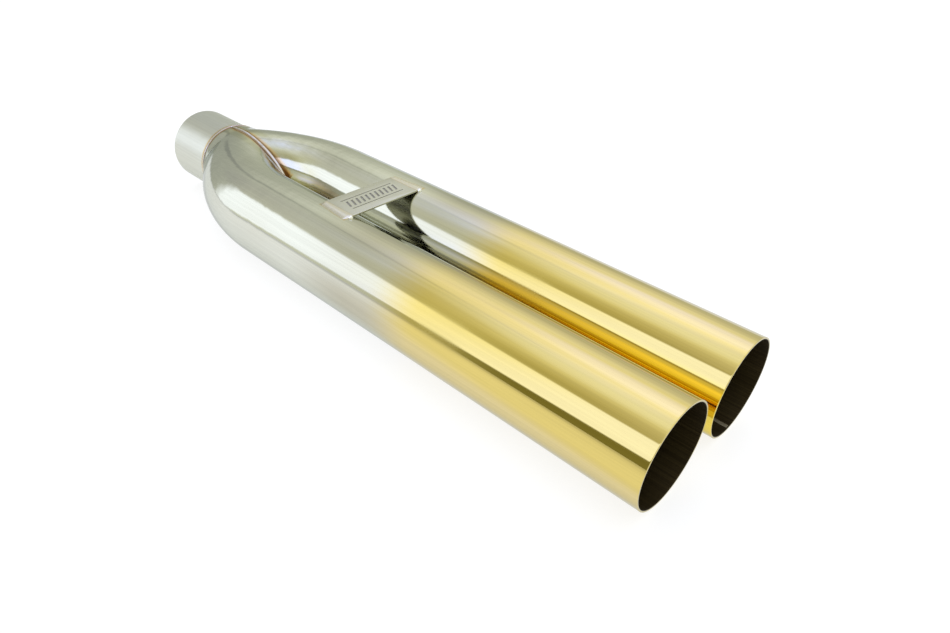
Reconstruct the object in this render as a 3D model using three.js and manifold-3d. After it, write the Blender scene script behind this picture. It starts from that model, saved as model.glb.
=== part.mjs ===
// Twin-outlet exhaust tail section: one round inlet collar that splits into two bent pipes, which run
// side by side to two open, square-cut outlets. A small plate bridges the pipes on top. Every joint is
// a weld. Millimetres, +Z up, +X to the right, +Y from the outlets towards the inlet. The origin is at
// the centre of the object's footprint, at the height of its lowest point.

import * as THREE from "three";
import { mergeVertices } from "three/addons/utils/BufferGeometryUtils.js";
import Module from "manifold-3d";

const wasm = await Module();
wasm.setup();

// Driving dimensions
const PIPE_RADIUS = 40; // outside
const WALL = 1.5;
const PIPE_OFFSET = 46; // each outlet's axis from the middle plane
const STRAIGHT_LENGTH = 434; // from an outlet to the start of its bend
const BEND_RADIUS = 4 * PIPE_RADIUS; // centreline, two pipe diameters
const COLLAR_RADIUS = 38.1; // outside, a 3 inch pipe
const COLLAR_JOINT = 568; // from the outlets to the collar's weld
const LENGTH = 630; // from the outlets to the collar's open end
const FORMED_LENGTH = 18; // how much of each pipe's end is formed to the collar's round
const WELD_GAP = 0.3; // between pieces that touch

const BEAD_RADIUS = 2.7; // curvature of a bead's crown
const BEAD_HALF_WIDTH = 2.2; // half the bead's width where it meets the metal
const BEAD_SINK = Math.sqrt(BEAD_RADIUS ** 2 - BEAD_HALF_WIDTH ** 2);
const BEAD_HEIGHT = BEAD_RADIUS - BEAD_SINK;
const CROTCH_SHARE = 0.2; // the seam bead's width at the crotch, as a share of its full width
const OPEN_VALLEY = 0.8; // how far up the pipes' sides, in radii, the seam bead has its full width
const CROTCH_GAP = 0.5; // from the crotch to where the seam bead starts

const PLATE_WIDTH = 76; // across the two pipes
const PLATE_DEPTH = 37; // along them
const PLATE_THICKNESS = 1.5;
const PLATE_START = 320; // from the outlets to the plate's nearer edge
const PLATE_CORNER = 1; // corner radius in plan
const PLATE_WELD_HALF_WIDTH = 4.2;
const PLATE_WELD_HEIGHT = 1.6;
const TACK_RADIUS = 2.4;

// The number of flat sides that stands for each round
const PIPE_SIDES = 48;
const BEND_STEPS = 16;
const BEAD_SIDES = 16;
const SEAM_STEPS = 36;
const DROP_SIDES = 24;
const HALVINGS = 40; // for finding a radius by halving an interval

// Worked out from the driving dimensions. The work is done with the pipe axes at z = 0 and the
// outlets at y = 0, and the finished group is moved so that the origin is where the head says.
const BEND_CENTRE = BEND_RADIUS - PIPE_OFFSET; // past the middle plane, on the other side
const BEND_ANGLE = THREE.MathUtils.degToRad(55); // enough to reach the collar's weld
const CROTCH = STRAIGHT_LENGTH + Math.sqrt((BEND_RADIUS - PIPE_RADIUS) ** 2 - BEND_CENTRE ** 2);
const PLATE_REST = Math.sqrt(PIPE_RADIUS ** 2 - (PIPE_OFFSET - PLATE_WIDTH / 2) ** 2) + WELD_GAP;
const LOWEST = PIPE_RADIUS + BEAD_HEIGHT;
const FAR = 2 * LENGTH; // larger than the object, for cutting blocks

// Materials
const steel = { color: 0xb2b2a4, roughness: 0.16, metalness: 1 };
const goldSteel = { color: 0xc9b46f, roughness: 0.14, metalness: 1 };
const satinSteel = { color: 0xaeaea2, roughness: 0.42, metalness: 1 };
const weldSteel = { color: 0xb9b3ad, roughness: 0.3, metalness: 1 };

// A closed three.js geometry as a solid that can be cut and joined.
function solidFrom(geometry) {
  geometry.deleteAttribute("normal");
  geometry.deleteAttribute("uv");
  const merged = mergeVertices(geometry, 1e-4);
  return new wasm.Manifold(
    new wasm.Mesh({
      numProp: 3,
      vertProperties: merged.attributes.position.array,
      triVerts: new Uint32Array(merged.index.array),
    }),
  );
}

// A solid as a named mesh with its own material.
function meshFrom(name, solid, look) {
  const { vertProperties, triVerts } = solid.getMesh();
  const geometry = new THREE.BufferGeometry();
  geometry.setAttribute("position", new THREE.BufferAttribute(vertProperties, 3));
  geometry.setIndex(new THREE.BufferAttribute(triVerts, 1));
  geometry.computeVertexNormals();
  const mesh = new THREE.Mesh(geometry, new THREE.MeshStandardMaterial(look));
  mesh.name = name;
  return mesh;
}

function block(low, high) {
  const size = high.map((value, i) => value - low[i]);
  const centre = high.map((value, i) => (value + low[i]) / 2);
  return solidFrom(new THREE.BoxGeometry(...size).translate(...centre));
}

// A round bar along Y between two distances from the outlets.
function roundBar(radius, start, end) {
  const bar = new THREE.CylinderGeometry(radius, radius, end - start, PIPE_SIDES);
  return solidFrom(bar.translate(0, (start + end) / 2, 0));
}

function circle(radius) {
  return new THREE.Shape().absarc(0, 0, radius, 0, 2 * Math.PI);
}

// The centreline of one pipe: a straight stretch and an arc towards the middle plane. Its steps follow
// the parameter instead of the length, so the whole straight stretch takes one step.
class PipePath extends THREE.Curve {
  constructor(side) {
    super();
    this.side = side;
  }
  angleAt(t) {
    return Math.max(0, (t * (BEND_STEPS + 1) - 1) / BEND_STEPS) * BEND_ANGLE;
  }
  getPoint(t, target = new THREE.Vector3()) {
    const along = Math.min(1, t * (BEND_STEPS + 1)) * STRAIGHT_LENGTH;
    const angle = this.angleAt(t);
    const inwards = BEND_RADIUS * (1 - Math.cos(angle));
    return target.set(
      this.side * (PIPE_OFFSET - inwards),
      along + BEND_RADIUS * Math.sin(angle),
      0,
    );
  }
  getTangent(t, target = new THREE.Vector3()) {
    const angle = this.angleAt(t);
    return target.set(-this.side * Math.sin(angle), Math.cos(angle), 0);
  }
  getUtoTmapping(u) {
    return u;
  }
}

// The distance from the collar's axis to a bent pipe's skin at the collar's weld, in the direction
// whose cosine and sine, across and up, are given.
function skinAtCollar(across, up) {
  let inside = 0;
  let outside = 2 * PIPE_RADIUS;
  for (let i = 0; i < HALVINGS; i++) {
    const radius = (inside + outside) / 2;
    const turn = Math.hypot(radius * across + BEND_CENTRE, COLLAR_JOINT - STRAIGHT_LENGTH);
    const fromCentreline = Math.hypot(turn - BEND_RADIUS, radius * up);
    if (fromCentreline < PIPE_RADIUS) inside = radius;
    else outside = radius;
  }
  return inside;
}

// Forms a pipe's end to the collar's round: points near the weld move out from, or in towards, the
// collar's axis, and the wall keeps its thickness.
function formEnd(solid) {
  return solid.warp((point) => {
    const share = (point[1] - COLLAR_JOINT + FORMED_LENGTH) / FORMED_LENGTH;
    if (share <= 0) return;
    const blend = THREE.MathUtils.smoothstep(share, 0, 1);
    const radius = Math.hypot(point[0], point[2]);
    const move = COLLAR_RADIUS - skinAtCollar(Math.abs(point[0]) / radius, point[2] / radius);
    point[0] *= 1 + (blend * move) / radius;
    point[2] *= 1 + (blend * move) / radius;
  });
}

// One pipe's space, filled out to a radius, kept on its own side of the middle plane.
function pipeSpace(side, radius, gap) {
  const swept = solidFrom(
    new THREE.ExtrudeGeometry(circle(radius), {
      steps: BEND_STEPS + 1,
      curveSegments: PIPE_SIDES,
      bevelEnabled: false,
      extrudePath: new PipePath(side),
    }),
  );
  const nearEdge = side * gap;
  const farEdge = side * FAR;
  const ownSide = block(
    [Math.min(nearEdge, farEdge), -FAR, -FAR],
    [Math.max(nearEdge, farEdge), COLLAR_JOINT - gap, FAR],
  );
  return swept.intersect(ownSide);
}

function pipe(side) {
  const skin = pipeSpace(side, PIPE_RADIUS, WELD_GAP / 2);
  const bore = pipeSpace(side, PIPE_RADIUS - WALL, 0);
  return formEnd(skin.subtract(bore));
}

// Everything that a weld bead lies against, grown by the gap that touching pieces keep.
const metalUnderBeads = [-1, 1].map((side) =>
  formEnd(pipeSpace(side, PIPE_RADIUS + WELD_GAP, 0)),
);
metalUnderBeads.push(roundBar(COLLAR_RADIUS + WELD_GAP, COLLAR_JOINT, LENGTH));

function layOnMetal(bead) {
  return metalUnderBeads.reduce((rest, metal) => rest.subtract(metal), bead);
}

function inletCollar() {
  const start = COLLAR_JOINT + WELD_GAP / 2;
  const skin = roundBar(COLLAR_RADIUS, start, LENGTH);
  return skin.subtract(roundBar(COLLAR_RADIUS - WALL, start - 1, LENGTH + 1));
}

// The ring of filler round the collar's weld, with its crown grown by a clearance.
function collarRing(clearance) {
  const section = circle(BEAD_RADIUS + clearance)
    .getPoints(BEAD_SIDES)
    .map((p) => new THREE.Vector2(COLLAR_RADIUS - BEAD_SINK + p.x, p.y));
  return solidFrom(new THREE.LatheGeometry(section, PIPE_SIDES).translate(0, COLLAR_JOINT, 0));
}

function collarWeld(side) {
  const nearEdge = (side * WELD_GAP) / 2;
  const half = block(
    [Math.min(nearEdge, side * FAR), -FAR, -FAR],
    [Math.max(nearEdge, side * FAR), FAR, FAR],
  );
  return layOnMetal(collarRing(0).intersect(half));
}

// The line of the bead where the two pipes meet, from the crotch to the collar. The valley between the
// pipes is filled until the bead has its width. The width shrinks towards the crotch, where the valley
// is steep and narrow.
class SeamPath extends THREE.Curve {
  constructor(upDown) {
    super();
    this.upDown = upDown;
  }
  getPoint(t, target = new THREE.Vector3()) {
    const along = THREE.MathUtils.lerp(CROTCH + CROTCH_GAP, COLLAR_JOINT, t * t);
    const bendY = along - STRAIGHT_LENGTH;
    const turn = Math.hypot(BEND_CENTRE, bendY);
    const offset = (turn - BEND_RADIUS) / PIPE_RADIUS;
    const up = Math.sqrt(1 - offset * offset);
    const across = (-offset * BEND_CENTRE) / turn;
    const back = (offset * bendY) / turn;
    const outwards = Math.hypot(back, up);
    const opening = THREE.MathUtils.smoothstep(up, 0, OPEN_VALLEY);
    const halfWidth = BEAD_HALF_WIDTH * THREE.MathUtils.lerp(CROTCH_SHARE, 1, opening);
    const sink = Math.sqrt(BEAD_RADIUS ** 2 - halfWidth ** 2);
    const distance = (halfWidth * across) / outwards - sink;
    return target.set(
      0,
      along + (distance * back) / outwards,
      this.upDown * (PIPE_RADIUS * up + (distance * up) / outwards),
    );
  }
}

function seamWeld(upDown) {
  const bead = solidFrom(
    new THREE.ExtrudeGeometry(circle(BEAD_RADIUS), {
      steps: SEAM_STEPS,
      curveSegments: BEAD_SIDES,
      bevelEnabled: false,
      extrudePath: new SeamPath(upDown),
    }),
  );
  const ownHalf = block(
    [-FAR, -FAR, upDown > 0 ? WELD_GAP / 2 : -FAR],
    [FAR, FAR, upDown > 0 ? FAR : -WELD_GAP / 2],
  );
  return layOnMetal(bead.intersect(ownHalf)).subtract(collarRing(WELD_GAP));
}

// The bridging plate, a flat rectangle with softened corners, grown by a clearance.
function plateSpace(clearance) {
  const x = PLATE_WIDTH / 2 + clearance;
  const y = PLATE_DEPTH / 2 + clearance;
  const r = PLATE_CORNER;
  const outline = new THREE.Shape()
    .moveTo(x, -y + r)
    .lineTo(x, y - r)
    .absarc(x - r, y - r, r, 0, Math.PI / 2)
    .absarc(-x + r, y - r, r, Math.PI / 2, Math.PI)
    .absarc(-x + r, -y + r, r, Math.PI, 1.5 * Math.PI)
    .absarc(x - r, -y + r, r, 1.5 * Math.PI, 2 * Math.PI);
  const depth = PLATE_THICKNESS + 2 * clearance;
  const sheet = new THREE.ExtrudeGeometry(outline, { depth, curveSegments: 4, bevelEnabled: false });
  return solidFrom(sheet.translate(0, PLATE_START + PLATE_DEPTH / 2, PLATE_REST - clearance));
}

// The wide bead along one end of the plate, with its crown grown by a clearance.
function plateWeldSpace(side, clearance) {
  const x = side * (PLATE_WIDTH / 2 + PLATE_WELD_HALF_WIDTH - WELD_GAP);
  const halfWidth = PLATE_WELD_HALF_WIDTH + clearance;
  const halfHeight = PLATE_WELD_HEIGHT + clearance;
  const section = new THREE.Shape().absellipse(x, PLATE_REST, halfWidth, halfHeight, 0, 2 * Math.PI);
  const depth = PLATE_DEPTH + 2 * clearance;
  const bead = new THREE.ExtrudeGeometry(section, {
    depth,
    curveSegments: 2 * BEAD_SIDES,
    bevelEnabled: false,
  });
  const end = PLATE_START + PLATE_DEPTH + clearance;
  return solidFrom(bead.rotateX(Math.PI / 2).translate(0, end, 0));
}

function plateWeld(side) {
  return layOnMetal(plateWeldSpace(side, 0)).subtract(plateSpace(WELD_GAP));
}

// The drop of filler where each plate weld ended, on the outlets' side of the plate.
function plateTack(side) {
  const x = side * (PLATE_WIDTH / 2 + PLATE_WELD_HALF_WIDTH / 3);
  const drop = new THREE.SphereGeometry(TACK_RADIUS, DROP_SIDES, DROP_SIDES / 2);
  return layOnMetal(solidFrom(drop.translate(x, PLATE_START, PLATE_REST)))
    .subtract(plateSpace(WELD_GAP))
    .subtract(plateWeldSpace(side, WELD_GAP));
}

const part = new THREE.Group();
part.add(
  meshFrom("inlet_collar", inletCollar(), steel),
  meshFrom("left_pipe", pipe(-1), goldSteel),
  meshFrom("right_pipe", pipe(1), goldSteel),
  meshFrom("collar_weld_left", collarWeld(-1), weldSteel),
  meshFrom("collar_weld_right", collarWeld(1), weldSteel),
  meshFrom("seam_weld_upper", seamWeld(1), weldSteel),
  meshFrom("seam_weld_lower", seamWeld(-1), weldSteel),
  meshFrom("bridge_plate", plateSpace(0), satinSteel),
  meshFrom("plate_weld_left", plateWeld(-1), weldSteel),
  meshFrom("plate_weld_right", plateWeld(1), weldSteel),
  meshFrom("plate_tack_left", plateTack(-1), weldSteel),
  meshFrom("plate_tack_right", plateTack(1), weldSteel),
);
part.position.set(0, -LENGTH / 2, LOWEST);

export default part;
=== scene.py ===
"""Looks of a twin-outlet exhaust tail section: two polished pipes that leave one inlet collar, gold
tinted towards their outlets, with rippled weld beads and a small satin plate that bridges them.
Metres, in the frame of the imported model: +Z up, +Y from the outlets towards the inlet."""

import math

import bpy
import numpy as np
from mathutils import Matrix, Vector


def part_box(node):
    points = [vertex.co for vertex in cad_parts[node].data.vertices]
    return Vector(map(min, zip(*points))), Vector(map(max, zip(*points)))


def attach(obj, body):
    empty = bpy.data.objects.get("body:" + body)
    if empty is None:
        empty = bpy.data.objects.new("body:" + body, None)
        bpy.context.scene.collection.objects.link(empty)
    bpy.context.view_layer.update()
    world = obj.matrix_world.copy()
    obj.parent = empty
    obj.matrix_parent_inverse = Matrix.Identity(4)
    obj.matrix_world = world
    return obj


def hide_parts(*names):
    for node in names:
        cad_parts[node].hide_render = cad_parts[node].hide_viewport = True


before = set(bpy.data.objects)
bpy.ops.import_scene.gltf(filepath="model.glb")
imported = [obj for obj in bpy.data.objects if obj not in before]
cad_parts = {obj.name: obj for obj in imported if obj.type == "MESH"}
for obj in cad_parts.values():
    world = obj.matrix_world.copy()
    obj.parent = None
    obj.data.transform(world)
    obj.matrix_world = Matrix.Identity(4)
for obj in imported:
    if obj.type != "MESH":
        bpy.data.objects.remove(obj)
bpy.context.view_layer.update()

MM = 0.001

# ---------------------------------------------------------------- sizes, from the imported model
PIPE_LOW, PIPE_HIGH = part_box("left_pipe")
COLLAR_LOW, COLLAR_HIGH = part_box("inlet_collar")
PLATE_LOW, PLATE_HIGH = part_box("bridge_plate")

AXIS_HEIGHT = (PIPE_LOW.z + PIPE_HIGH.z) / 2
PIPE_RADIUS = (PIPE_HIGH.z - PIPE_LOW.z) / 2
PIPE_OFFSET = -PIPE_LOW.x - PIPE_RADIUS  # each outlet's axis from the middle plane
COLLAR_RADIUS = (COLLAR_HIGH.x - COLLAR_LOW.x) / 2
OUTLETS = PIPE_LOW.y
INLET = COLLAR_HIGH.y

WALL = 1.5 * MM
WELD_GAP = 0.3 * MM
BEND_START = OUTLETS + 434 * MM
BEND_RADIUS = 4 * PIPE_RADIUS
BEND_CENTRE = BEND_RADIUS - PIPE_OFFSET  # past the middle plane, on the other side
COLLAR_JOINT = COLLAR_LOW.y - WELD_GAP / 2
FORMED_LENGTH = 18 * MM  # how much of each pipe's end is formed to the collar's round
CROTCH = BEND_START + math.sqrt((BEND_RADIUS - PIPE_RADIUS) ** 2 - BEND_CENTRE**2)
LIP = 0.35 * MM  # radius of the edges at the open ends
SUPPORT = 0.6 * MM  # from a lip to the row that holds the shading flat

BEAD_RADIUS = 2.7 * MM
BEAD_HALF_WIDTH = 2.2 * MM
PLATE_WELD_REACH = 8.2 * MM  # past the plate's end
PLATE_WELD_LEAN = 0.09  # how fast that reach shortens away from the outlets
BEAD_SINK = 0.35 * MM  # how deep a bead's underside lies in the metal
RIPPLE_PITCH = 1.5 * MM
RIPPLE_DEPTH = 0.22  # of the crown's height
RIPPLE_CURVE = 0.45  # how far a ripple lags behind at the bead's edges, in pitches
RING_CROWN = 0.98  # the height of the ring round the collar, in that of a round bead
SEAM_HALF_WIDTH = 1.7 * MM  # the pipes' own long welds, inside their bores
SEAM_HEIGHT = 0.3 * MM
SEAM_CROWN = 0.7  # a power: below 1, it flattens the crown
SEAM_SHARE = 0.94  # how much of the bend such a weld runs through

# ---------------------------------------------------------------- how finely the rounds are cut
OUTER_COLUMNS = 36  # from the outside of the bend to where its cut changes plane, on each half
INNER_COLUMNS = 60  # from there to the inside of the bend
BEND_ROWS = 90
BORE_ROWS = 36
STRAIGHT_ROWS = 12
COLLAR_COLUMNS = 192
COLLAR_ROWS = 8
LIP_ROWS = 5
SEAM_COLUMNS = 9
BEAD_COLUMNS = 13
ROWS_PER_RIPPLE = 6
TACK_COLUMNS = 32
TACK_ROWS = 18
CORNER_POINTS = 7
BEVEL_ROWS = 4
HALVINGS = 40  # of the search for a bent pipe's skin


# ---------------------------------------------------------------- meshes
def piece(name, points, materials, replaces, pick=None, wrap=False, sharp=38):
    """A closed body from rows of points. Each row is a closed loop. The rows close on each other if
    wrap is true, and otherwise the first and the last row are capped. pick gives each row its material.
    An edge that turns by more than sharp degrees is shaded as an edge."""
    rows, columns = points.shape[:2]
    vertices = points.reshape(-1, 3).copy()
    vertices[:, 2] += AXIS_HEIGHT
    faces = []
    looks = []
    for row in range(rows if wrap else rows - 1):
        here = row * columns
        there = (row + 1) % rows * columns
        for column in range(columns):
            beside = (column + 1) % columns
            faces.append((here + column, here + beside, there + beside, there + column))
            looks.append(pick[row] if pick else 0)
    if not wrap:
        faces.append(tuple(reversed(range(columns))))
        faces.append(tuple(range((rows - 1) * columns, rows * columns)))
        looks += [0, 0]
    mesh = bpy.data.meshes.new(name)
    mesh.from_pydata(vertices.tolist(), [], faces)
    mesh.polygons.foreach_set("material_index", looks)
    for material in materials:
        mesh.materials.append(material)
    face_out(mesh)
    mesh.set_sharp_from_angle(angle=math.radians(sharp))
    return place(bpy.data.objects.new("fine_" + name, mesh), replaces)


def face_out(mesh):
    """Turns a closed mesh's faces outwards and shades it smooth."""
    corners = np.zeros(len(mesh.vertices) * 3)
    mesh.vertices.foreach_get("co", corners)
    corners = corners.reshape(-1, 3)
    mesh.calc_loop_triangles()
    triangles = np.array([t.vertices for t in mesh.loop_triangles])
    a, b, c = (corners[triangles[:, i]] for i in range(3))
    if np.einsum("ij,ij->i", a, np.cross(b, c)).sum() < 0:
        mesh.flip_normals()
    mesh.polygons.foreach_set("use_smooth", [True] * len(mesh.polygons))
    mesh.update()


def place(thing, replaces):
    """Puts a piece in the scene, on the part's one body."""
    bpy.context.scene.collection.objects.link(thing)
    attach(thing, "root")
    if replaces:
        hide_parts(*replaces)
    return thing


def smoothstep(value):
    value = np.clip(value, 0, 1)
    return value * value * (3 - 2 * value)


def stack(x, y, z):
    return np.stack(np.broadcast_arrays(x, y, z), axis=-1)


# ---------------------------------------------------------------- the pipes
def bent_skin(along, across, up):
    """The distance from the collar's axis to a bent pipe's skin, in the plane at that distance along
    and in the direction whose cosine and sine, across and up, are given."""
    inside = np.zeros(np.broadcast(along, across, up).shape)
    outside = inside + 2 * PIPE_RADIUS
    for _ in range(HALVINGS):
        radius = (inside + outside) / 2
        turn = np.hypot(radius * across + BEND_CENTRE, along - BEND_START)
        within = np.hypot(turn - BEND_RADIUS, radius * up) < PIPE_RADIUS
        inside = np.where(within, radius, inside)
        outside = np.where(within, outside, radius)
    return inside


def form_end(points):
    """Forms a bent pipe's end to the collar's round."""
    share = (points[..., 1] - COLLAR_JOINT + FORMED_LENGTH) / FORMED_LENGTH
    radius = np.hypot(points[..., 0], points[..., 2])
    across = np.abs(points[..., 0]) / radius
    move = COLLAR_RADIUS - bent_skin(COLLAR_JOINT, across, points[..., 2] / radius)
    grow = 1 + smoothstep(share) * move / radius
    return points * stack(grow, 1, grow)


def section_angles(radius):
    """Angles round a pipe's section, from the outside of its bend. One of them is exactly where the
    cut at the bend's end changes from the middle plane to the collar's plane."""
    far = np.hypot(BEND_CENTRE + WELD_GAP / 2, COLLAR_JOINT - WELD_GAP / 2 - BEND_START)
    corner = math.acos((far - BEND_RADIUS) / radius)
    half = np.concatenate(
        [
            np.linspace(0, corner, OUTER_COLUMNS, endpoint=False),
            np.linspace(corner, math.pi, INNER_COLUMNS + 1),
        ]
    )
    return np.concatenate([half, 2 * math.pi - half[-2:0:-1]])


def bend_rows(side, radius, angles, shares):
    """Rows of a bent skin, at these shares of the way from the bend's start to its cut end."""
    reach = BEND_RADIUS + radius * np.cos(angles)
    to_middle = np.arccos((BEND_CENTRE + WELD_GAP / 2) / reach)
    to_joint = np.arcsin(np.minimum(1, (COLLAR_JOINT - WELD_GAP / 2 - BEND_START) / reach))
    turn = np.asarray(shares)[:, None] * np.minimum(to_middle, to_joint)
    x = side * (reach * np.cos(turn) - BEND_CENTRE)
    y = BEND_START + reach * np.sin(turn)
    return form_end(stack(x, y, radius * np.sin(angles)))


def straight_row(side, radius, angles, along):
    return stack(side * (PIPE_OFFSET + radius * np.cos(angles)), along, radius * np.sin(angles))


def lip_rows(outer, inner, edge, away):
    """(radius, along) round an open end's two edges, from the outer skin to the inner one. away is 1
    where the body lies at larger y, and -1 where it lies at smaller y."""
    turns = np.linspace(0, math.pi / 2, LIP_ROWS)
    rows = [(outer, edge + away * (LIP + SUPPORT))]
    rows += [
        (outer - LIP + LIP * math.cos(a), edge + away * (LIP - LIP * math.sin(a))) for a in turns
    ]
    rows += [
        (inner + LIP - LIP * math.sin(a), edge + away * (LIP - LIP * math.cos(a))) for a in turns
    ]
    return rows + [(inner, edge + away * (LIP + SUPPORT))]


SKIN, BORE, EDGE = range(3)  # the places of a tube's three materials
LIP_PICK = [SKIN] * (LIP_ROWS + 1) + [EDGE] + [BORE] * (LIP_ROWS - 1)


def pipe(name, side, materials):
    bore_radius = PIPE_RADIUS - WALL
    skin_angles = section_angles(PIPE_RADIUS)
    bore_angles = section_angles(bore_radius)
    outer = bend_rows(side, PIPE_RADIUS, skin_angles, np.linspace(1, 0, BEND_ROWS))
    inner = bend_rows(side, bore_radius, bore_angles, np.linspace(0, 1, BORE_ROWS))
    lip = lip_rows(PIPE_RADIUS, bore_radius, OUTLETS, 1)
    straight = np.linspace(BEND_START, lip[0][1], STRAIGHT_ROWS)[1:-1]
    rows = [straight_row(side, PIPE_RADIUS, skin_angles, y) for y in straight]
    for radius, y in lip:
        share = (PIPE_RADIUS - radius) / WALL
        angles = skin_angles + share * (bore_angles - skin_angles)
        rows.append(straight_row(side, radius, angles, y))
    rows += [straight_row(side, bore_radius, bore_angles, y) for y in straight[::-1]]
    points = np.concatenate([outer, np.array(rows), inner])
    skin_rows = len(outer) + len(straight)
    pick = [SKIN] * skin_rows + LIP_PICK + [BORE] * (len(straight) + len(inner) + 1)
    return piece(name, points, materials, [name], pick, wrap=True)


def inner_seam(name, side, angle, material):
    """The pipe's own long weld, a low strip along its bore."""
    bore_radius = PIPE_RADIUS - WALL
    across = np.linspace(-1, 1, SEAM_COLUMNS)
    top = SEAM_HEIGHT * (1 - across**2) ** SEAM_CROWN
    angles = angle + np.concatenate([across, across[::-1]]) * SEAM_HALF_WIDTH / bore_radius
    radius = bore_radius - np.concatenate([top, np.full(SEAM_COLUMNS, -BEAD_SINK)])
    straight = np.linspace(OUTLETS + LIP + SUPPORT, BEND_START, STRAIGHT_ROWS)
    rows = [straight_row(side, radius, angles, y) for y in straight]
    reach = BEND_RADIUS + radius * np.cos(angles)
    last = SEAM_SHARE * np.arccos(np.minimum(1, (BEND_CENTRE + WALL) / reach.min()))
    for turn in np.linspace(0, last, BORE_ROWS)[1:]:
        x = side * (reach * np.cos(turn) - BEND_CENTRE)
        rows.append(stack(x, BEND_START + reach * np.sin(turn), radius * np.sin(angles)))
    return piece(name, np.array(rows), [material], [])


def collar(name, materials):
    bore_radius = COLLAR_RADIUS - WALL
    start = COLLAR_JOINT + WELD_GAP / 2
    angles = np.linspace(0, 2 * math.pi, COLLAR_COLUMNS, endpoint=False)
    profile = [(bore_radius, start), (COLLAR_RADIUS, start), (COLLAR_RADIUS, start + SUPPORT)]
    lip = lip_rows(COLLAR_RADIUS, bore_radius, INLET, -1)
    profile += [(COLLAR_RADIUS, y) for y in np.linspace(start, lip[0][1], COLLAR_ROWS)[1:-1]]
    skin_rows = len(profile)
    profile += lip
    profile += [(bore_radius, y) for y in np.linspace(lip[-1][1], start, COLLAR_ROWS)[1:-1]]
    rows = [stack(r * np.cos(angles), y, r * np.sin(angles)) for r, y in profile]
    bore_rows = len(profile) - skin_rows - len(lip) + 1
    pick = [SKIN] * skin_rows + LIP_PICK + [BORE] * bore_rows
    return piece(name, np.array(rows), materials, [name], pick, wrap=True)


# ---------------------------------------------------------------- weld beads
def bead(name, spine, across, outwards, reach, rise, crown, material):
    """A bead of overlapping ripples along a spine. At each station it reaches from reach[0] to
    reach[1] across, where the metal has risen by rise[0] and rise[1], and its crown stands proud of
    the line between those by crown."""
    travelled = np.concatenate([[0], np.cumsum(np.linalg.norm(np.diff(spine, axis=0), axis=1))])
    place_across = np.linspace(-1, 1, BEAD_COLUMNS)
    phase = travelled[:, None] / RIPPLE_PITCH - RIPPLE_CURVE * place_across**2
    ripple = 1 - RIPPLE_DEPTH * (1 - np.abs(np.sin(math.pi * phase)))
    share = (place_across + 1) / 2
    reach_low, reach_high = (np.broadcast_to(r, len(spine))[:, None] for r in reach)
    rise_low, rise_high = (np.broadcast_to(r, len(spine))[:, None] for r in rise)
    bulge = np.broadcast_to(crown, len(spine))[:, None] * (1 - place_across**2) * ripple
    top_out = rise_low + share * (rise_high - rise_low) + bulge
    top_across = reach_low + share * (reach_high - reach_low)
    under = np.array([1, 0.5, 0, -0.5, -1])
    under_across = np.where(under > 0, under * reach_high, -under * reach_low)
    under_out = np.where(under > 0, under * rise_high, -under * rise_low) - BEAD_SINK
    sideways = np.concatenate([top_across, under_across], axis=1)[..., None]
    out = np.concatenate([top_out, under_out], axis=1)[..., None]
    points = spine[:, None] + sideways * across[:, None] + out * outwards[:, None]
    return piece(name, points, [material], [name], sharp=60)


def stations(length):
    """How many rows a bead of this length has."""
    return int(length / RIPPLE_PITCH * ROWS_PER_RIPPLE)


def collar_weld(name, side, material):
    """Half of the ring round the collar's weld, from the top to the bottom on one side."""
    count = stations(math.pi * COLLAR_RADIUS)
    angles = math.pi / 2 - np.linspace(0, math.pi, count)
    across, up = np.cos(angles), np.sin(angles)
    outwards = stack(side * across, 0, up)
    spine = COLLAR_RADIUS * outwards + np.array([0, COLLAR_JOINT, 0])
    blend = smoothstep(1 - BEAD_HALF_WIDTH / FORMED_LENGTH)
    raw = bent_skin(COLLAR_JOINT - BEAD_HALF_WIDTH, across, up)
    move = COLLAR_RADIUS - bent_skin(COLLAR_JOINT, across, up)
    slope = (raw + blend * move - COLLAR_RADIUS) / BEAD_HALF_WIDTH
    pipe_reach = BEAD_HALF_WIDTH / np.sqrt(1 + slope**2)
    crown = BEAD_RADIUS - math.sqrt(BEAD_RADIUS**2 - BEAD_HALF_WIDTH**2)
    along = np.broadcast_to([0, 1, 0], spine.shape)
    reach = (-pipe_reach, BEAD_HALF_WIDTH)
    rise = (slope * pipe_reach, 0)
    return bead(name, spine, along, outwards, reach, rise, crown * RING_CROWN, material)


def seam_weld(name, up_down, material):
    """The bead along the valley between the two pipes, from the crotch to the collar."""
    climb = 1.4  # the bead's length, in its length along y
    inset = 0.5 * MM  # from the crotch to the bead's tip
    tip_width = 0.2  # in the bead's full width
    full_width_at = 0.8  # how far up, in pipe radii
    count = stations(climb * (COLLAR_JOINT - CROTCH))
    share = np.linspace(0, 1, count) ** 2
    along = CROTCH + inset + share * (COLLAR_JOINT - CROTCH - inset)
    turn = np.hypot(BEND_CENTRE, along - BEND_START)
    offset = (turn - BEND_RADIUS) / PIPE_RADIUS
    up = np.sqrt(1 - offset**2)
    facing = -offset * BEND_CENTRE / turn
    back = offset * (along - BEND_START) / turn
    length = np.hypot(back, up)
    outwards = stack(0, back / length, up_down * up / length)
    spine = form_end(stack(0, along, up_down * PIPE_RADIUS * up))
    half_width = BEAD_HALF_WIDTH * (tip_width + (1 - tip_width) * smoothstep(up / full_width_at))
    rise = half_width * facing / length
    crown = BEAD_RADIUS - np.sqrt(BEAD_RADIUS**2 - half_width**2)
    across = np.broadcast_to([1.0, 0, 0], spine.shape)
    return bead(name, spine, across, outwards, (-half_width, half_width), (rise, rise), crown, material)


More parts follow.
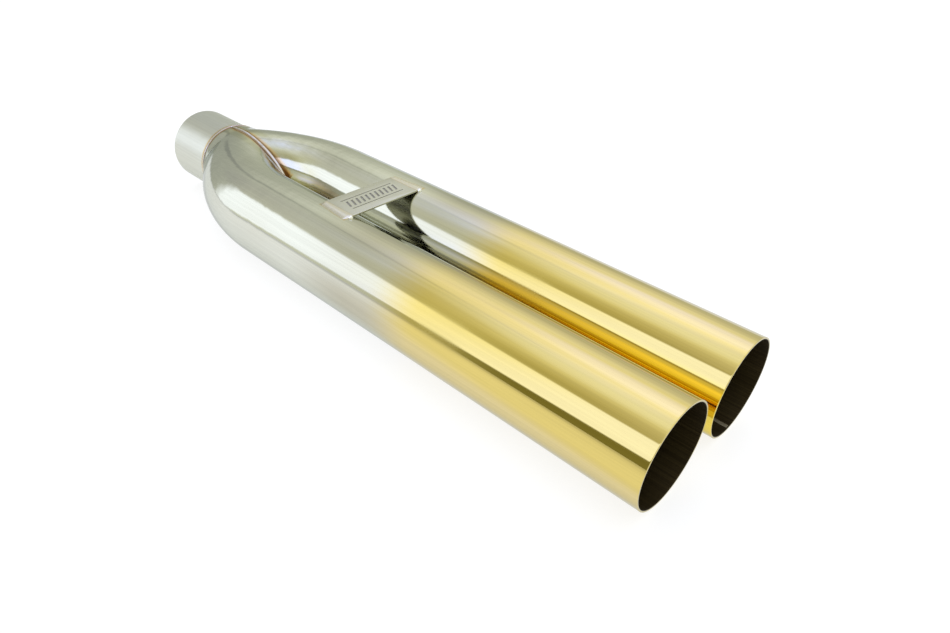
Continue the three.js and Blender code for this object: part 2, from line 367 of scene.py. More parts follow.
def plate_weld(name, side, material):
    """The wide bead that joins one end of the plate to the pipe's crown."""
    overlap = 1.2 * MM  # over the plate's end
    proud = 0.06 * MM  # of the plate's top
    crown = 0.55 * MM
    rounding = 2.5 * MM  # the length of each rounded end
    least = 0.02  # keeps those ends from closing to a line
    spine_height = PIPE_RADIUS - 0.1 * MM  # just inside the pipe's crown
    inner = PLATE_HIGH.x - overlap
    outer = PLATE_HIGH.x + PLATE_WELD_REACH
    top = PLATE_HIGH.z - AXIS_HEIGHT + proud
    skin = math.sqrt(PIPE_RADIUS**2 - (outer - PIPE_OFFSET) ** 2)
    along = np.linspace(PLATE_LOW.y, PLATE_HIGH.y, stations(PLATE_HIGH.y - PLATE_LOW.y))
    spine = stack(side * (inner + outer) / 2, along, spine_height)
    end = np.minimum(along - PLATE_LOW.y, PLATE_HIGH.y - along) / rounding
    swell = np.sqrt(np.clip(end, least, 1))
    half = (outer - inner) / 2
    shorter = PLATE_WELD_LEAN * (along - PLATE_LOW.y)
    across = np.broadcast_to([float(side), 0, 0], spine.shape)
    outwards = np.broadcast_to([0, 0, 1.0], spine.shape)
    rise = (top - spine_height, skin - spine_height)
    reach = (-half, (half - shorter) * swell)
    return bead(name, spine, across, outwards, reach, rise, crown * swell, material)


def tack(name, material):
    """The drop of filler where a plate weld ended."""
    lumps = 6
    lump_depth = 0.05
    slant = 4  # how fast the lumps' phase changes with height
    lowest, highest = math.radians(-40), math.radians(88)  # from the drop's widest ring
    low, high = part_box(name)
    centre = (low + high) / 2
    middle = np.array([centre.x, centre.y, low.z - AXIS_HEIGHT])
    size = np.array([(high.x - low.x) / 2, (high.y - low.y) / 2, high.z - low.z])
    turns = np.linspace(0, 2 * math.pi, TACK_COLUMNS, endpoint=False)
    rows = []
    for height in np.linspace(lowest, highest, TACK_ROWS):
        lump = 1 - lump_depth * np.cos(lumps / 2 * turns + slant * height) ** 2
        ring = stack(np.cos(turns) * np.cos(height), np.sin(turns) * np.cos(height), np.sin(height))
        rows.append(middle + ring * size * stack(lump, lump, 1))
    return piece(name, np.array(rows), [material], [name], sharp=80)


# ---------------------------------------------------------------- the plate
def plate(name, satin, etched):
    """A rounded sheet with softened edges and a plain row of slanted grooves."""
    corner = 1.2 * MM  # radius of the outline's corners
    soft = 0.3 * MM  # radius of the edges
    half_x = (PLATE_HIGH.x - PLATE_LOW.x) / 2
    half_y = (PLATE_HIGH.y - PLATE_LOW.y) / 2
    middle = (PLATE_LOW + PLATE_HIGH) / 2
    low = PLATE_LOW.z - AXIS_HEIGHT
    high = PLATE_HIGH.z - AXIS_HEIGHT

    def outline(inset, height):
        loop = []
        for quarter in range(4):
            for a in np.linspace(0, math.pi / 2, CORNER_POINTS) + quarter * math.pi / 2:
                sign_x = 1 if quarter in (0, 3) else -1
                sign_y = 1 if quarter in (0, 1) else -1
                x = sign_x * (half_x - corner) + (corner - inset) * math.cos(a)
                y = sign_y * (half_y - corner) + (corner - inset) * math.sin(a)
                loop.append((middle.x + x, middle.y + y, height))
        return loop

    bevel = np.linspace(0, math.pi / 2, BEVEL_ROWS)
    rows = [outline(soft - soft * math.sin(a), low + soft - soft * math.cos(a)) for a in bevel]
    rows += [outline(soft - soft * math.cos(a), high - soft + soft * math.sin(a)) for a in bevel]
    made = piece(name, np.array(rows), [satin, etched], [name], sharp=28)
    engrave(made, slanted_bars(middle, high + AXIS_HEIGHT, etched))
    return made


def slanted_bars(middle, top, etched):
    """The cutters for the plate's grooves: a plain row of slanted bars between two long lines."""
    depth = 0.3 * MM
    bars = 11
    pitch = 5.2 * MM
    width = 2.1 * MM
    height = 10 * MM
    slant = 3 * MM
    line_gap = 8.6 * MM  # from the middle of the plate
    line_width = 0.9 * MM
    length = bars * pitch
    shapes = []
    for i in range(bars):
        x = (i - (bars - 1) / 2) * pitch
        shapes.append((x - width / 2, x + width / 2, -height / 2, height / 2, slant))
    for y in (-line_gap, line_gap):
        shapes.append((-length / 2, length / 2, y - line_width / 2, y + line_width / 2, 0))
    vertices = []
    faces = []
    for left, right, near, far, lean in shapes:
        first = len(vertices)
        for z in (top - depth, top + depth):
            for x, y in ((left, near), (right, near), (right + lean, far), (left + lean, far)):
                vertices.append((middle.x + x - lean / 2, middle.y + y, z))
        faces.append([first, first + 3, first + 2, first + 1])
        faces.append([first + 4, first + 5, first + 6, first + 7])
        for corner in range(4):
            beside = (corner + 1) % 4
            faces.append([first + corner, first + beside, first + 4 + beside, first + 4 + corner])
    mesh = bpy.data.meshes.new("cutter")
    mesh.from_pydata(vertices, [], faces)
    mesh.materials.append(etched)
    cutter = bpy.data.objects.new("cutter", mesh)
    bpy.context.scene.collection.objects.link(cutter)
    return cutter


def engrave(target, cutter):
    """Cuts cutter out of target and leaves cutter's material on the cut."""
    cut = target.modifiers.new("grooves", "BOOLEAN")
    cut.operation = "DIFFERENCE"
    cut.solver = "EXACT"
    cut.object = cutter
    cut.material_mode = "TRANSFER"
    bpy.context.view_layer.update()
    evaluated = target.evaluated_get(bpy.context.evaluated_depsgraph_get())
    done = bpy.data.meshes.new_from_object(evaluated)
    target.modifiers.clear()
    target.data = done
    bpy.data.objects.remove(cutter)


# ---------------------------------------------------------------- node graphs
class Graph:
    """A node tree, with one short call for each kind of node. A value is a number, a tuple or a socket."""

    def __init__(self, tree):
        self.tree = tree
        tree.nodes.clear()

    def node(self, kind, **settings):
        made = self.tree.nodes.new("ShaderNode" + kind)
        for name, value in settings.items():
            setattr(made, name, value)
        return made

    def put(self, value, socket):
        if isinstance(value, bpy.types.NodeSocket):
            self.tree.links.new(value, socket)
        elif isinstance(value, tuple) and len(value) == 3 and socket.type == "RGBA":
            socket.default_value = (*value, 1)
        else:
            socket.default_value = value

    def math(self, operation, *values):
        made = self.node("Math", operation=operation)
        for value, socket in zip(values, made.inputs):
            self.put(value, socket)
        return made.outputs[0]

    def fold(self, operation, values):
        """The operation on the first two values, then on its result and the third, and so on."""
        total = values[0]
        for value in values[1:]:
            total = self.math(operation, total, value)
        return total

    def add(self, *values):
        return self.fold("ADD", values)

    def times(self, *values):
        return self.fold("MULTIPLY", values)

    def least(self, *values):
        return self.fold("MINIMUM", values)

    def most(self, *values):
        return self.fold("MAXIMUM", values)

    def unsigned(self, value):
        """The value without its sign."""
        return self.math("ABSOLUTE", value)

    def smooth(self, value, low, high, start=0.0, end=1.0):
        """start below low, end above high, and a smooth step between them."""
        made = self.node("MapRange", interpolation_type="SMOOTHSTEP")
        for given, socket in zip((value, low, high, start, end), made.inputs):
            self.put(given, socket)
        return made.outputs[0]

    def fade(self, value, low, high):
        """1 below low, 0 above high, and a smooth step between them."""
        return self.smooth(value, low, high, 1.0, 0.0)

    def stretch(self, value, starts, full, fades, gone):
        """0 before starts, 1 from full to fades, and 0 again after gone."""
        return self.times(self.smooth(value, starts, full), self.fade(value, fades, gone))

    def mix(self, factor, first, second, kind="MIX"):
        made = self.node("Mix", data_type="RGBA", blend_type=kind)
        self.put(factor, made.inputs["Factor"])
        self.put(first, made.inputs[6])
        self.put(second, made.inputs[7])
        return made.outputs[2]

    def noise(self, vector, scale, detail=3.0):
        """Noise with this many features to the metre, alike in all directions or one number for each."""
        scaled = self.node("VectorMath", operation="MULTIPLY")
        self.put(vector, scaled.inputs[0])
        self.put(np.broadcast_to(scale, 3).tolist(), scaled.inputs[1])
        made = self.node("TexNoise")
        self.put(scaled.outputs[0], made.inputs["Vector"])
        made.inputs["Scale"].default_value = 1
        made.inputs["Detail"].default_value = detail
        return made.outputs["Fac"]

    def bump(self, height, distance):
        made = self.node("Bump")
        made.inputs["Strength"].default_value = 1
        made.inputs["Distance"].default_value = distance
        self.put(height, made.inputs["Height"])
        return made.outputs[0]

    def parts(self, vector):
        """The vector's x, y and z."""
        made = self.node("SeparateXYZ")
        self.put(vector, made.inputs[0])
        return made.outputs

    def position(self):
        """The place on the object, in the frame's metres."""
        return self.node("TexCoord").outputs["Object"]

    def facing(self):
        """0 where the surface faces the eye, and 1 where it turns away."""
        weight = self.node("LayerWeight")
        weight.inputs["Blend"].default_value = 0.5
        return weight.outputs["Facing"]


def surface(name, build):
    """A material with one shader. build gives the shader's inputs by name."""
    material = bpy.data.materials.new(name)
    material.use_nodes = True
    graph = Graph(material.node_tree)
    shader = graph.node("BsdfPrincipled")
    output = graph.node("OutputMaterial")
    graph.put(shader.outputs[0], output.inputs["Surface"])
    for key, value in build(graph).items():
        graph.put(value, shader.inputs[key])
    return material


# ---------------------------------------------------------------- colours
SILVER = (0.70, 0.71, 0.63)
DULL_SILVER = (0.67, 0.67, 0.58)
GOLD = (0.725, 0.58, 0.18)
GOLD_EDGE = (0.72, 0.64, 0.50)  # painted sheen: the gold film paler where seen at a slant
GOLD_INTERREFLECTION = (0.86, 0.66, 0.10)  # painted reflection of the gold pipes in each other, on the hidden sides between them
HAZY_SHADED_STEEL = (0.52, 0.50, 0.40)  # steel just past the gold, dulled by heat, and darkened there as painted shade on the crown and the sides
STEEL_EDGE_SHADE = (0.44, 0.45, 0.40)  # painted shade: steel darkened where it is seen almost edge on
SHADE_BETWEEN = (0.54, 0.49, 0.40)  # painted shade on the hidden sides between the bends, brownish
WARM_STEEL = (0.67, 0.65, 0.47)  # painted shade: a warmer, slightly darker steel on the bends' inner sides
SHADE_BY_CROTCH = (0.60, 0.60, 0.46)  # painted shade: the same sides darker by the crotch
EDGE_DIM = (0.75, 0.77, 0.75, 1)  # polished metal's tint where it is seen edge on
HEAT_BROWN = (0.28, 0.17, 0.07)
HEAT_STRAW = (0.62, 0.46, 0.22)
BLOOM_BROWN = (0.36, 0.29, 0.23)  # patches on the beads
# The bore's colours: very dark, with lighter lines and darker patches.
BORE_DARK = (0.034, 0.022, 0.006)
BORE_LINES = (0.060, 0.042, 0.013)
BORE_PATCHES = (0.02, 0.015, 0.008)
CUT_STEEL = (0.40, 0.38, 0.32)
CUT_MARKS = (0.26, 0.24, 0.19)
WELD_SILVER = (0.62, 0.60, 0.54)
PLATE_WELD_SILVER = (0.74, 0.72, 0.58)
DROP_SILVER = (0.95, 0.95, 0.90)
STRIP = (0.46, 0.40, 0.28)
STRIP_MARKS = (0.30, 0.25, 0.16)
SATIN = (0.60, 0.595, 0.47)
SATIN_PATCHES = (0.565, 0.56, 0.435)
BRUSH_MARKS = (0.52, 0.515, 0.41)
ETCH = (0.36, 0.35, 0.29)
ETCH_MARKS = (0.26, 0.25, 0.20)
BLACK = (0, 0, 0)
WHITE = (1.0, 1.0, 1.0)

# ---------------------------------------------------------------- where the metal changes
GOLD_END = OUTLETS + 196 * MM  # the film begins to end
GOLD_GONE = GOLD_END + 58 * MM  # all but a faint tail of it has ended
SILVER_START = OUTLETS + 300 * MM  # the tail has ended too
GOLD_RAGGED = 16 * MM  # how unevenly the film ends
GOLD_TAIL = 0.16  # the tail's share of the film


def past_outlets(*lengths):
    return [OUTLETS + length * MM for length in lengths]


def above_axis(*lengths):
    return [AXIS_HEIGHT + length * MM for length in lengths]


# Two places are where a change begins and ends. Four are where a zone starts, is full, fades and ends.
# Where the painted reflection of the pipes in each other fades out along them.
GOLD_INTERREFLECTION_FADES = past_outlets(40, 210)
# The haze past the gold is partly painted shade: strongest on the crown and the sides.
HAZE_AND_SHADE_ALONG = past_outlets(170, 215, 270, 360)
CROWN_HAZE_AND_SHADE = above_axis(36, 39.6)
SIDE_HAZE_AND_SHADE = (4 * MM, 17 * MM)  # above and below the axis
BRUSHED_ALONG = past_outlets(140, 162, 180, 215)  # a duller stretch
HIDDEN_SIDE = (11 * MM, 17 * MM)  # from the middle plane
HIDDEN_BELOW = above_axis(17, 23)
INNER_SIDE = (9 * MM, 17 * MM)  # from the middle plane
BROWN_LINE = (0.3 * MM, 1.7 * MM)  # from a bead's edge: full, and gone
STRAW_LINE = (1.2 * MM, 4.0 * MM)
BEAD_BROWN_EDGE = (-1.3 * MM, 0.1 * MM)  # from a bead's edge: none, and full
HEAT_WANDER = 1.4 * MM  # how unevenly those lines run
BEAD_WANDER = 0.8 * MM
COOLER_BY_PLATE = 2.3 * MM  # how much closer to the plate's welds the lines lie


def weld_distance(graph, vector):
    """How far a point of the skin is from the edge of the nearest bead. Past a bead's ends, and for
    the plate's below the axes, a metre is added."""
    x, y, z = graph.parts(vector)
    sideways = graph.unsigned(x)
    collar_weld_edge = graph.unsigned(graph.add(y, -COLLAR_JOINT))
    before_crotch = graph.fade(y, CROTCH - 4 * MM, CROTCH)
    past_joint = graph.smooth(y, COLLAR_JOINT, COLLAR_JOINT + 1 * MM)
    seam_edge = graph.add(sideways, before_crotch, past_joint)
    lean = graph.times(graph.add(y, -PLATE_LOW.y), PLATE_WELD_LEAN)
    past_outer = graph.add(sideways, -PLATE_HIGH.x - PLATE_WELD_REACH, lean)
    past_inner = graph.add(PLATE_HIGH.x - 1 * MM, graph.times(sideways, -1))
    past_far = graph.add(y, -PLATE_HIGH.y)
    past_near = graph.add(PLATE_LOW.y, graph.times(y, -1))
    outside = graph.most(graph.most(past_outer, past_inner), graph.most(past_far, past_near))
    below = graph.fade(z, *above_axis(0, 10))
    plate_edge = graph.add(outside, below, COOLER_BY_PLATE)
    bead_edge = graph.add(graph.least(collar_weld_edge, seam_edge), -BEAD_HALF_WIDTH)
    return graph.least(bead_edge, plate_edge)


def heat_tinted(graph, color, vector):
    """color, with the straw and brown lines that welding leaves beside a bead."""
    wander = graph.times(graph.add(graph.noise(vector, 160), -0.5), HEAT_WANDER)
    distance = graph.add(weld_distance(graph, vector), wander)
    brown = graph.smooth(distance, *BROWN_LINE, 0.95, 0.0)
    straw = graph.smooth(distance, *STRAW_LINE, 0.9, 0.0)
    return graph.mix(brown, graph.mix(straw, color, HEAT_STRAW), HEAT_BROWN)


# ---------------------------------------------------------------- polished tube
def bare_steel(graph, clouds, y, z):
    """Cloudy polished steel, with a haze just past the gold: a dulling by heat that is also painted shade,
    strongest on the crown and the sides.
    """
    silver = graph.mix(graph.smooth(clouds, 0.35, 0.7, 0.0, 0.5), SILVER, DULL_SILVER)
    on_crown = graph.smooth(z, *CROWN_HAZE_AND_SHADE, 0.3, 1.0)
    on_side = graph.smooth(graph.unsigned(graph.add(z, -AXIS_HEIGHT)), *SIDE_HAZE_AND_SHADE, 0.7, 0.0)
    # Painted shade on the crown and the sides, over the dulling past the gold.
    haze_and_shade = graph.times(graph.stretch(y, *HAZE_AND_SHADE_ALONG), graph.add(on_crown, on_side))
    return graph.mix(haze_and_shade, silver, HAZY_SHADED_STEEL)


def film_amount(graph, streaks, y):
    """How much of the gold film there is. It ends raggedly, and a faint tail of it reaches further."""
    edge = graph.add(y, graph.times(graph.add(streaks, -0.5), GOLD_RAGGED))
    film = graph.smooth(edge, GOLD_END, GOLD_GONE, 1 - GOLD_TAIL, 0.0)
    tail = graph.smooth(edge, GOLD_END, SILVER_START, GOLD_TAIL, 0.0)
    return graph.add(film, tail)


def film_color(graph, facing, hidden, y):
    """The gold film's colour, with a painted sheen that makes it paler at a slant, and a painted
    reflection of the pipes in each other that makes it deeper between them.
    """
    # Painted sheen: the film is paler where the surface is seen at a slant.
    half_slant = graph.smooth(facing, 0.3, 0.5, 0.0, 0.35)
    full_slant = graph.smooth(facing, 0.62, 0.97, 0.0, 0.5)
    seen = graph.mix(graph.add(half_slant, full_slant), GOLD, GOLD_EDGE)
    # Painted reflection: the gold is deeper and more orange where the pipes face each other.
    interreflection = graph.times(graph.smooth(y, *GOLD_INTERREFLECTION_FADES, 0.9, 0.1), hidden)
    return graph.mix(interreflection, seen, GOLD_INTERREFLECTION)


def shaded_between_bends(graph, color, hidden, sideways, y):
    """color, with painted shade where the bends face each other: brownish between them, and on their inner
    sides warmer, and darker by the crotch.
    """
    from_straight = graph.smooth(y, BEND_START - 45 * MM, BEND_START - 10 * MM)
    to_crotch = graph.smooth(y, BEND_START + 8 * MM, BEND_START + 28 * MM, 1.0, 0.2)
    # Painted shade, brownish, on the hidden sides between the bends.
    color = graph.mix(graph.times(hidden, from_straight, to_crotch), color, SHADE_BETWEEN)
    # Painted shade on the bends' inner sides: warmer, and darker by the crotch.
    inner_side = graph.fade(sideways, *INNER_SIDE)
    on_bend = graph.smooth(y, BEND_START - 2 * MM, BEND_START + 18 * MM)
    shade_by_crotch = graph.smooth(y, CROTCH - 12 * MM, CROTCH + 8 * MM)
    warm = graph.mix(shade_by_crotch, WARM_STEEL, SHADE_BY_CROTCH)
    return graph.mix(graph.times(inner_side, on_bend), color, warm)


def polished(graph, gold):
    """Polished tube: gold film near the outlets if gold is true, steel elsewhere."""
    vector = graph.position()
    x, y, z = graph.parts(vector)
    streaks = graph.noise(vector, (600, 7, 600), 4.0)
    clouds = graph.noise(vector, (22, 9, 22))
    color = bare_steel(graph, clouds, y, z)
    smoothest = 0.055 if gold else 0.34
    roughness = graph.add(smoothest, graph.times(streaks, 0.05), graph.times(clouds, 0.03))
    if gold:
        facing = graph.facing()
        sideways = graph.unsigned(x)
        hidden = graph.times(graph.fade(sideways, *HIDDEN_SIDE), graph.fade(z, *HIDDEN_BELOW))
        amount = film_amount(graph, streaks, y)
        # Painted shade: the steel is darkened where it is seen almost edge on.
        color = graph.mix(graph.smooth(facing, 0.77, 0.87), color, STEEL_EDGE_SHADE)
        color = graph.mix(amount, color, film_color(graph, facing, hidden, y))
        color = shaded_between_bends(graph, color, hidden, sideways, y)
        brushed = graph.stretch(y, *BRUSHED_ALONG)
        roughness = graph.add(roughness, graph.times(amount, -0.04), graph.times(brushed, 0.10))
    tone = graph.smooth(streaks, 0.35, 0.65, 0.94, 1.0)
    wave = graph.noise(vector, (34, 5, 34), 2.0)
    dents = graph.noise(vector, 80, 1.0)
    bent = graph.smooth(y, SILVER_START, BEND_START, 0.0, 4.0)
    height = graph.add(wave, graph.times(streaks, 0.03), graph.times(dents, bent))
    return {
        "Base Color": heat_tinted(graph, graph.mix(tone, BLACK, color), vector),
        "Metallic": 1.0,
        "Specular Tint": EDGE_DIM,
        "Roughness": roughness,
        "Normal": graph.bump(height, 0.05 * MM),
    }


def gold_polish(graph):
    return polished(graph, True)


def steel_polish(graph):
    return polished(graph, False)


# ---------------------------------------------------------------- the other metals
def dark_bore_look(graph):
    """The unpolished bore: dark, with fine marks drawn along it."""
    vector = graph.position()
    lines = graph.noise(vector, (1500, 8, 1500))
    patches = graph.noise(vector, 50, 4.0)
    dark = graph.mix(graph.smooth(lines, 0.35, 0.7), BORE_DARK, BORE_LINES)
    return {
        "Base Color": graph.mix(graph.smooth(patches, 0.45, 0.75, 0.0, 0.5), dark, BORE_PATCHES),
        "Metallic": 0.7,
        "Roughness": graph.add(0.38, graph.times(lines, 0.2)),
        "Normal": graph.bump(graph.add(lines, patches), 0.06 * MM),
    }


def cut_edge(graph):
    """The tubes' cut ends, with fine marks."""
    marks = graph.noise(graph.position(), 1500)
    return {
        "Base Color": graph.mix(graph.smooth(marks, 0.3, 0.8), CUT_STEEL, CUT_MARKS),
        "Metallic": 1.0,
        "Roughness": graph.add(0.32, graph.times(marks, 0.15)),
    }


def filler(graph, silver, edge_tint, roughness):
    """Weld metal, with a faint straw and brown bloom and brown edges."""
    vector = graph.position()
    bloom = graph.noise(vector, 90)
    grain = graph.noise(vector, 1800, 2.0)
    straw = graph.mix(graph.smooth(bloom, 0.46, 0.7, 0.0, 0.5 * edge_tint), silver, HEAT_STRAW)
    brown = graph.mix(graph.smooth(bloom, 0.5, 0.28, 0.0, 0.6 * edge_tint), straw, BLOOM_BROWN)
    within = graph.add(weld_distance(graph, vector), graph.times(bloom, BEAD_WANDER))
    edge = graph.smooth(within, *BEAD_BROWN_EDGE, 0.0, edge_tint)
    return {
        "Base Color": graph.mix(edge, brown, HEAT_BROWN),
        "Metallic": 1.0,
        "Roughness": graph.add(roughness, graph.times(grain, 0.14)),
        "Normal": graph.bump(grain, 0.02 * MM),
    }


def weld_bead(graph):
    return filler(graph, WELD_SILVER, 0.85, 0.16)


def plate_bead(graph):
    return filler(graph, PLATE_WELD_SILVER, 0.16, 0.26)


def bright_drop(graph):
    return filler(graph, DROP_SILVER, 0.0, 0.28)


def seam_strip(graph):
    """The weld inside the right bore, where light catches it."""
    marks = graph.noise(graph.position(), (300, 40, 300))
    return {
        "Base Color": graph.mix(graph.smooth(marks, 0.3, 0.75), STRIP, STRIP_MARKS),
        "Metallic": 0.8,
        "Roughness": 0.42,
    }


def satin(graph):
    """Brushed plate: fine marks along its length, and a tint beside its welds."""
    vector = graph.position()
    brush = graph.noise(vector, (30, 1800, 300))
    patches = graph.noise(vector, 60)
    color = graph.mix(graph.smooth(patches, 0.3, 0.75), SATIN, SATIN_PATCHES)
    color = graph.mix(graph.smooth(brush, 0.35, 0.7, 0.0, 0.4), color, BRUSH_MARKS)
    return {
        "Base Color": heat_tinted(graph, color, vector),
        "Metallic": 1.0,
        "Roughness": graph.add(0.36, graph.times(brush, 0.14)),
        "Normal": graph.bump(brush, 0.01 * MM),
    }


def etched(graph):
    """The floor and the walls of the plate's grooves."""
    grain = graph.noise(graph.position(), 900)
    return {
        "Base Color": graph.mix(graph.smooth(grain, 0.3, 0.7), ETCH, ETCH_MARKS),
        "Metallic": 0.9,
        "Roughness": 0.6,
        "Normal": graph.bump(grain, 0.03 * MM),
    }


# ---------------------------------------------------------------- the object
LEFT, RIGHT = -1, 1
UPPER, LOWER = 1, -1
LEFT_SEAM_ANGLE = math.radians(192)
RIGHT_SEAM_ANGLE = math.radians(-87)

DARK_BORE_METAL = surface("dark_bore", dark_bore_look)
CUT = surface("cut_edge", cut_edge)
WELD = surface("weld_bead", weld_bead)
PLATE_WELD = surface("plate_bead", plate_bead)
DROP = surface("bright_drop", bright_drop)
PIPE_METALS = [surface("gold_tinted_steel", gold_polish), DARK_BORE_METAL, CUT]
COLLAR_METALS = [surface("polished_steel", steel_polish), DARK_BORE_METAL, CUT]

pipe("left_pipe", LEFT, PIPE_METALS)
pipe("right_pipe", RIGHT, PIPE_METALS)
inner_seam("left_inner_seam", LEFT, LEFT_SEAM_ANGLE, DARK_BORE_METAL)
inner_seam("right_inner_seam", RIGHT, RIGHT_SEAM_ANGLE, surface("seam_strip", seam_strip))
collar("inlet_collar", COLLAR_METALS)
collar_weld("collar_weld_left", LEFT, WELD)
collar_weld("collar_weld_right", RIGHT, WELD)
seam_weld("seam_weld_upper", UPPER, WELD)
seam_weld("seam_weld_lower", LOWER, WELD)
plate("bridge_plate", surface("satin_steel", satin), surface("etched_groove", etched))
plate_weld("plate_weld_left", LEFT, PLATE_WELD)
plate_weld("plate_weld_right", RIGHT, PLATE_WELD)
tack("plate_tack_left", DROP)
tack("plate_tack_right", DROP)


# ---------------------------------------------------------------- the studio
TABLE_REACH = 6.0
PAPER = (0.24, 0.24, 0.24)
PAPER_PATCHES = (0.26, 0.26, 0.26)
GLOW_CENTRE = (1.0, 0.85)
GLOW_REACH = (1.5, 2.3)  # from that centre: where the glow dims, and where it is dimmest
GLOW_BRIGHT, GLOW_DIM = 0.80, 0.45
# A painted shadow under the pipes: where the glow is cut, and by how much.
UNDER_PIPES = (PIPE_OFFSET - 35 * MM, PIPE_OFFSET + 5 * MM)  # from the middle plane
UNDER_SHADE = 0.85
UNDER_ALONG = [*past_outlets(25, 70), COLLAR_JOINT - 60 * MM, COLLAR_JOINT]

PLAIN_BACKDROP = (0.74, 0.74, 0.76)  # what the camera sees past the table
STUDIO_WALLS = (0.76, 0.77, 0.63)
# Round lights and dark patches on the walls: azimuth, elevation, the full part's radius and the
# whole's, all in degrees, and colour. Azimuth 0 is -Y and 90 is +X.
GLOWS = [
    (0, 90, 8, 50, (0.32, 0.36, 0.66)),  # the ceiling
    (122, 46, 4, 34, (0.37, 0.37, 0.36)),  # four high on the right and behind
    (130, 58, 4, 26, (0.03, 0.04, 0.46)),
    (114, 51, 3, 18, (0.08, 0.12, 0.95)),
    (178, 68, 3, 17, (0.06, 0.10, 0.42)),
    (20, 45, 10, 50, (0.20, 0.20, 0.16)),  # in front
]
DARK_PATCHES = [
    (-112, 55, 3, 24, (0.24, 0.27, 0.32)),  # over the soft box
    (172, 10, 4, 40, (0.24, 0.24, 0.16)),  # low behind
    (140, 4, 5, 36, (0.05, 0.05, 0.05)),  # low at the right, behind
    (-168, 40, 3, 24, (0.08, 0.09, 0.05)),  # past the soft box's rear end
    (-147, 58, 4, 20, (0.03, 0.05, 0.18)),  # over that end
]
LOW_BAND = (0.08, 0.07, 0.10)  # a faint light, low at the right, behind
STAND = (0.14, 0.14, 0.11)  # a thin dark upright behind
GAP = (0.51, 0.53, 0.53)  # the dark gap under the soft box
BOX_AZIMUTH = -128
BOX_SLOPE = 0.36  # degrees up for each degree of azimuth
BOX_REAR = (1.36, 1.41, 1.50)
BOX_FRONT = (1.40, 1.53, 2.50)  # bluer

TOP_LIGHT_SIZE = 3.0
TOP_LIGHT_POWER = 10  # watts
TOP_LIGHT_HEIGHT = 1.8


def light_table(graph):
    """White paper that glows, and dims far to the left. Under the pipes the glow is cut, as a painted
    shadow.
    """
    vector = graph.position()
    x, y = graph.parts(vector)[:2]
    right = graph.add(x, -GLOW_CENTRE[0])
    back = graph.add(y, -GLOW_CENTRE[1])
    distance = graph.math("SQRT", graph.add(graph.times(right, right), graph.times(back, back)))
    glow = graph.smooth(distance, *GLOW_REACH, GLOW_BRIGHT, GLOW_DIM)
    # Painted shadow: the glow is cut under the pipes.
    under = graph.smooth(graph.unsigned(x), *UNDER_PIPES, UNDER_SHADE, 0.0)
    shade = graph.times(under, graph.stretch(y, *UNDER_ALONG))
    return {
        "Base Color": graph.mix(graph.noise(vector, 3, 2.0), PAPER, PAPER_PATCHES),
        "Roughness": 1.0,
        "Specular IOR Level": 0.0,
        "Emission Color": WHITE,
        "Emission Strength": graph.times(glow, graph.add(1, graph.times(shade, -1))),
    }


def floor():
    """A large white light table."""
    mesh = bpy.data.meshes.new("floor")
    sides = [(-1, -1), (1, -1), (1, 1), (-1, 1)]
    corners = [(x * TABLE_REACH, y * TABLE_REACH, 0) for x, y in sides]
    mesh.from_pydata(corners, [], [(0, 1, 2, 3)])
    mesh.materials.append(surface("floor", light_table))
    sheet = bpy.data.objects.new("floor", mesh)
    bpy.context.scene.collection.objects.link(sheet)


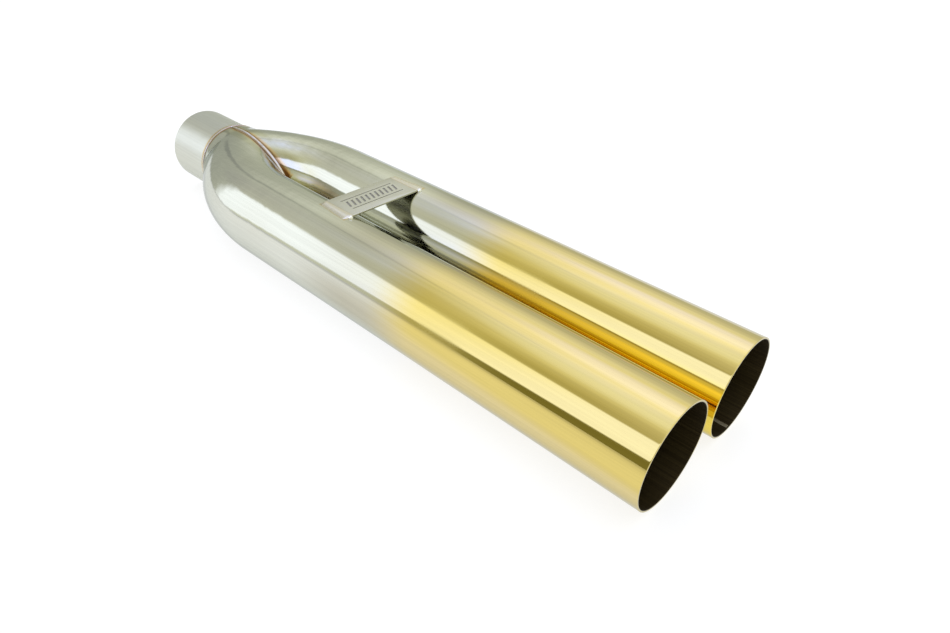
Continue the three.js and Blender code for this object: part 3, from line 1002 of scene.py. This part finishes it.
def studio():
    """A soft studio all round: a large soft box on the left, a softer light overhead, grey walls, and
    a dark gap at the left between the soft box and the table."""
    world = bpy.data.worlds.new("studio")
    bpy.context.scene.world = world
    world.use_nodes = True
    graph = Graph(world.node_tree)
    x, y, z = graph.parts(graph.node("TexCoord").outputs["Generated"])
    height = graph.math("DEGREES", graph.math("ARCSINE", z))

    def azimuth_from(centre):
        a = math.radians(centre)
        sine = graph.add(graph.times(x, math.cos(a)), graph.times(y, math.sin(a)))
        cosine = graph.add(graph.times(x, math.sin(a)), graph.times(y, -math.cos(a)))
        return graph.math("DEGREES", graph.math("ARCTAN2", sine, cosine))

    def panel(azimuth, half_width, low, high, soft, slope=0):
        """A panel from low to high, in degrees. soft has how soft its sides, bottom and top are, and
        slope tilts it."""
        soft_side, soft_low, soft_high = soft
        turn = azimuth_from(azimuth)
        tilted = graph.add(height, graph.times(turn, -slope))
        sides = graph.fade(graph.unsigned(turn), half_width - soft_side, half_width + soft_side)
        bottom = graph.smooth(tilted, low - soft_low, low + soft_low)
        top = graph.fade(tilted, high - soft_high, high + soft_high)
        return graph.times(sides, bottom, top)

    def spot(azimuth, elevation, inner, outer):
        """A round patch: 1 within inner degrees of its middle, and 0 past outer."""
        a, e = math.radians(azimuth), math.radians(elevation)
        way = (math.sin(a) * math.cos(e), -math.cos(a) * math.cos(e), math.sin(e))
        lined_up = graph.add(*(graph.times(part, share) for part, share in zip((x, y, z), way)))
        return graph.smooth(lined_up, math.cos(math.radians(outer)), math.cos(math.radians(inner)))

    light = STUDIO_WALLS
    for *patch, color in GLOWS:
        light = graph.mix(spot(*patch), light, color, "ADD")
    for *patch, color in DARK_PATCHES:
        light = graph.mix(spot(*patch), light, color, "SUBTRACT")
    band = panel(122, 18, low=12, high=20, soft=(8, 4, 4))
    light = graph.mix(band, light, LOW_BAND, "ADD")
    stand = panel(164, 2, low=12, high=62, soft=(0.8, 3, 3))
    light = graph.mix(stand, light, STAND, "SUBTRACT")
    gap = panel(-105, 20, low=-4, high=15.8, soft=(9, 1, 1.2), slope=BOX_SLOPE)
    light = graph.mix(gap, light, GAP, "SUBTRACT")
    box = panel(BOX_AZIMUTH, 35, low=7.5, high=42.5, soft=(5, 1.5, 2), slope=BOX_SLOPE)
    to_front = graph.smooth(azimuth_from(BOX_AZIMUTH), -8, 14)
    light = graph.mix(box, light, graph.mix(to_front, BOX_REAR, BOX_FRONT))
    seen = graph.node("LightPath").outputs["Is Camera Ray"]
    background = graph.node("Background")
    graph.put(graph.mix(seen, light, PLAIN_BACKDROP), background.inputs["Color"])
    graph.put(background.outputs[0], graph.node("OutputWorld").inputs["Surface"])


def top_light():
    """A wide soft light overhead that whitens the table and isn't itself reflected."""
    light = bpy.data.lights.new("top_light", "AREA")
    light.shape = "DISK"
    light.size = TOP_LIGHT_SIZE
    light.energy = TOP_LIGHT_POWER
    lamp = bpy.data.objects.new("top_light", light)
    lamp.location = (0, 0, TOP_LIGHT_HEIGHT)
    lamp.visible_glossy = False
    bpy.context.scene.collection.objects.link(lamp)


# The camera looks down at the outlets from the front left.
CAMERA_AZIMUTH = math.radians(-48.76)
CAMERA_ELEVATION = math.radians(35.16)
CAMERA_ROLL = math.radians(3.13)
CAMERA_DISTANCE = 0.5395
CAMERA_TARGET = Vector((-0.0337, -0.1343, 0.0487))
CAMERA_LENS = 26.85
CAMERA_NEAREST = 0.01
CAMERA_FARTHEST = 50


def camera():
    """The camera, on its line back from the target, level and then rolled."""
    data = bpy.data.cameras.new("camera")
    data.lens = CAMERA_LENS
    data.clip_start = CAMERA_NEAREST
    data.clip_end = CAMERA_FARTHEST
    made = bpy.data.objects.new("camera", data)
    out = math.cos(CAMERA_ELEVATION)
    back_x = math.sin(CAMERA_AZIMUTH) * out
    back_y = -math.cos(CAMERA_AZIMUTH) * out
    back = Vector((back_x, back_y, math.sin(CAMERA_ELEVATION)))
    level = Vector((0, 0, 1)).cross(back).normalized()
    upright = back.cross(level)
    right = math.cos(CAMERA_ROLL) * level + math.sin(CAMERA_ROLL) * upright
    up = math.cos(CAMERA_ROLL) * upright - math.sin(CAMERA_ROLL) * level
    turned = Matrix((right, up, back)).transposed().to_4x4()
    made.matrix_world = Matrix.Translation(CAMERA_TARGET + back * CAMERA_DISTANCE) @ turned
    bpy.context.scene.collection.objects.link(made)
    bpy.context.scene.camera = made


floor()
studio()
top_light()
camera()
bpy.context.scene.view_settings.view_transform = "Standard"
bpy.context.scene.view_settings.look = "None"
